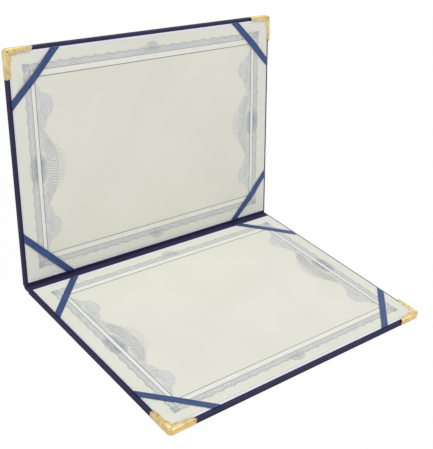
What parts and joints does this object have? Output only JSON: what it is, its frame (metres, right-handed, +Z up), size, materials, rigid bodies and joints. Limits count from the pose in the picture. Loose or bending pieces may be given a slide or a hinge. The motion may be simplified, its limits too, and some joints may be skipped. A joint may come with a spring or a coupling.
{
  "type": "diploma cover",
  "caption": "Padded leatherette certificate cover that opens like a book, with white liners, ribbon-held certificates and folded brass corners.",
  "frame": {"origin": "centre of the back panel's flat underside, on the surface that the cover stands on", "axes": "+X along the spine, to the right for a reader; +Y from the reader towards the spine and the standing front panel; +Z up"},
  "size_m": [0.3058, 0.272, 0.2224],
  "materials": {
    "leatherette": "navy embossed leatherette, fine grain, satin",
    "foam": "thin soft padding, hidden",
    "greyboard": "raw grey board, hidden",
    "liner_card": "white card with a soft sheen",
    "certificate_paper": "uncoated ivory certificate paper, matt",
    "printed_ink": "pale blue-grey border print, matt",
    "satin_ribbon": "blue satin ribbon, soft sheen",
    "brass_corner": "pale polished brass with embossed texture"
  },
  "bodies": {
    "back_cover": {"back_leatherette": "leatherette", "back_padding": "foam", "back_board": "greyboard", "back_liner": "liner_card", "back_certificate": "certificate_paper", "back_border_print": "printed_ink", "back_ribbon_hinge_left": "satin_ribbon", "back_ribbon_outer_left": "satin_ribbon", "back_brass_corner_left": "brass_corner", "back_ribbon_hinge_right": "satin_ribbon", "back_ribbon_outer_right": "satin_ribbon", "back_brass_corner_right": "brass_corner"},
    "spine": {"spine_inner_strip": "leatherette", "spine_leatherette": "leatherette"},
    "front_cover": {"front_leatherette": "leatherette", "front_padding": "foam", "front_board": "greyboard", "front_liner": "liner_card", "front_certificate": "certificate_paper", "front_border_print": "printed_ink", "front_ribbon_hinge_left": "satin_ribbon", "front_ribbon_outer_left": "satin_ribbon", "front_brass_corner_left": "brass_corner", "front_ribbon_hinge_right": "satin_ribbon", "front_ribbon_outer_right": "satin_ribbon", "front_brass_corner_right": "brass_corner"}
  },
  "joints": [
    {"name": "back_crease", "type": "hinge", "parent": "back_cover", "child": "spine", "pos_m": [0, 0.11065, 0.0043], "axis": [1, 0, 0], "range_deg": [0, 90]},
    {"name": "front_crease", "type": "hinge", "parent": "spine", "child": "front_cover", "pos_m": [0, 0.11645, 0.0043], "axis": [1, 0, 0], "range_deg": [-79.5, 10.5]}
  ]
}
